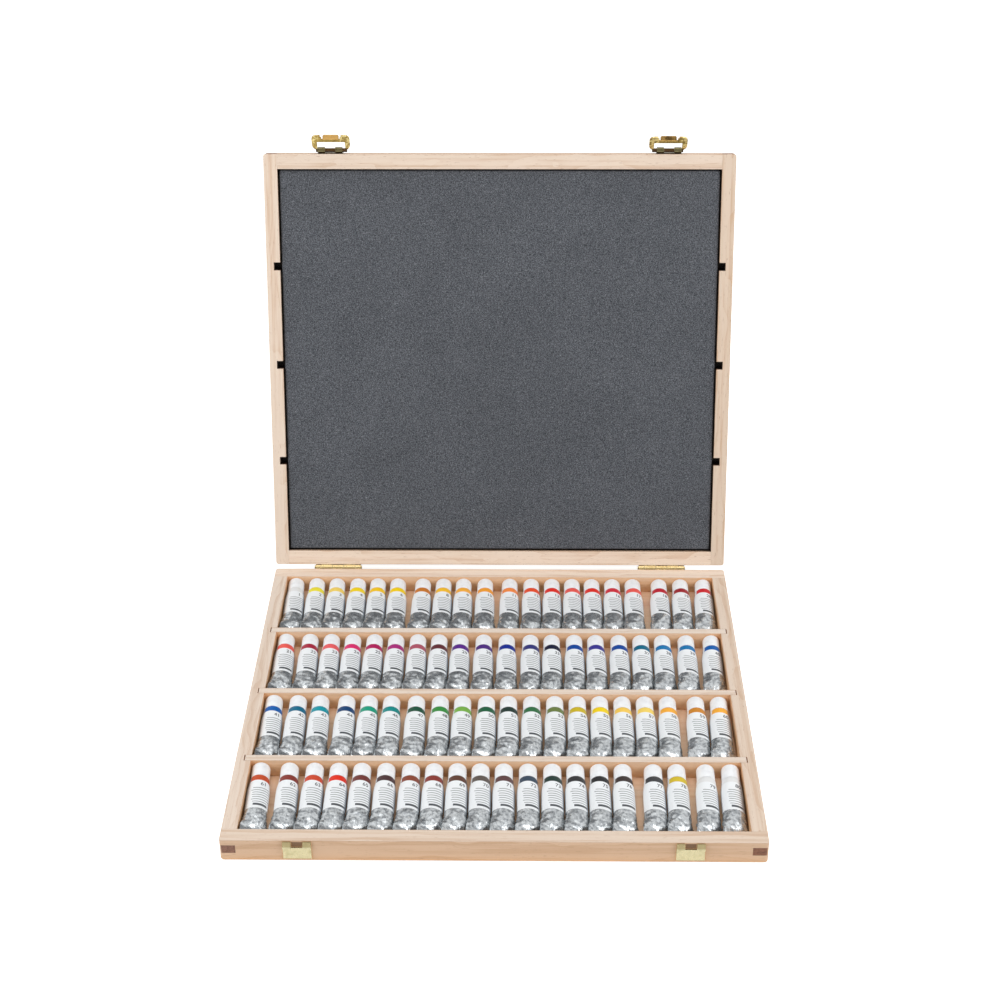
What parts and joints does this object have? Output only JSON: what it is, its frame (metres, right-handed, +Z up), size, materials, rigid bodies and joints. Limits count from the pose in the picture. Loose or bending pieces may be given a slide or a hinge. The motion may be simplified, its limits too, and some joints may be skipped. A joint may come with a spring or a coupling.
{
  "type": "watercolour paint box",
  "caption": "Flat wooden case with a hinged lid and two bail clasps, holding rows of small metal watercolour tubes between dividers under a foam lid pad",
  "frame": {"origin": "centre of the tray's underside, on the surface that the box stands on", "axes": "+Z up, the clasps towards -Y, the hinges towards +Y, +X to the right seen from the clasps; at rest the lid stands open and leans back over +Y"},
  "size_m": [0.3598, 0.4338, 0.3483],
  "materials": {
    "beech": "satin",
    "panel_wood": "satin",
    "foam": "matte",
    "hinge_brass": "polished",
    "clasp_brass": "polished",
    "tube_metal": "satin",
    "cap_plastic": "satin"
  },
  "bodies": {
    "tray": {"tray_front_rail": "beech", "tray_back_rail": "beech", "tray_left_rail": "beech", "tray_right_rail": "beech", "divider_front": "beech", "divider_middle": "beech", "divider_back": "beech", "tray_floor": "panel_wood", "left_hinge_tray_leaf": "hinge_brass", "left_hinge_pin": "hinge_brass", "left_hinge_tray_screws": "hinge_brass", "left_clasp_catch": "clasp_brass", "right_hinge_tray_leaf": "hinge_brass", "right_hinge_pin": "hinge_brass", "right_hinge_tray_screws": "hinge_brass", "right_clasp_catch": "clasp_brass"},
    "lid": {"lid_front_rail": "beech", "lid_back_rail": "beech", "lid_left_rail": "beech", "lid_right_rail": "beech", "lid_panel": "panel_wood", "lid_foam": "foam", "left_hinge_lid_leaf": "hinge_brass", "left_hinge_lid_screws": "hinge_brass", "left_clasp_lid_plate": "clasp_brass", "right_hinge_lid_leaf": "hinge_brass", "right_hinge_lid_screws": "hinge_brass", "right_clasp_lid_plate": "clasp_brass"},
    "left_bail": {"left_clasp_bail": "clasp_brass"},
    "right_bail": {"right_clasp_bail": "clasp_brass"},
    "row_1": {"row_1_tubes": "tube_metal", "row_1_caps": "cap_plastic"},
    "row_2": {"row_2_tubes": "tube_metal", "row_2_caps": "cap_plastic"},
    "row_3": {"row_3_tubes": "tube_metal", "row_3_caps": "cap_plastic"},
    "row_4": {"row_4_tubes": "tube_metal", "row_4_caps": "cap_plastic"}
  },
  "joints": [
    {"name": "lid_hinge", "type": "hinge", "parent": "tray", "child": "lid", "pos_m": [0, 0.16525, 0.0174], "axis": [-1, 0, 0], "range_deg": [-106.17, 0]},
    {"name": "left_bail_hinge", "type": "hinge", "parent": "lid", "child": "left_bail", "pos_m": [-0.1289, 0.26012, 0.33428], "axis": [-1, 0, 0], "range_deg": [-54.5, 99]},
    {"name": "right_bail_hinge", "type": "hinge", "parent": "lid", "child": "right_bail", "pos_m": [0.1289, 0.26012, 0.33428], "axis": [-1, 0, 0], "range_deg": [-48, 105.5]},
    {"name": "row_1_lift", "type": "slide", "parent": "tray", "child": "row_1", "axis": [0, 0, 1], "range_m": [0, 0.05]},
    {"name": "row_2_lift", "type": "slide", "parent": "tray", "child": "row_2", "axis": [0, 0, 1], "range_m": [0, 0.05]},
    {"name": "row_3_lift", "type": "slide", "parent": "tray", "child": "row_3", "axis": [0, 0, 1], "range_m": [0, 0.05]},
    {"name": "row_4_lift", "type": "slide", "parent": "tray", "child": "row_4", "axis": [0, 0, 1], "range_m": [0, 0.05]}
  ]
}
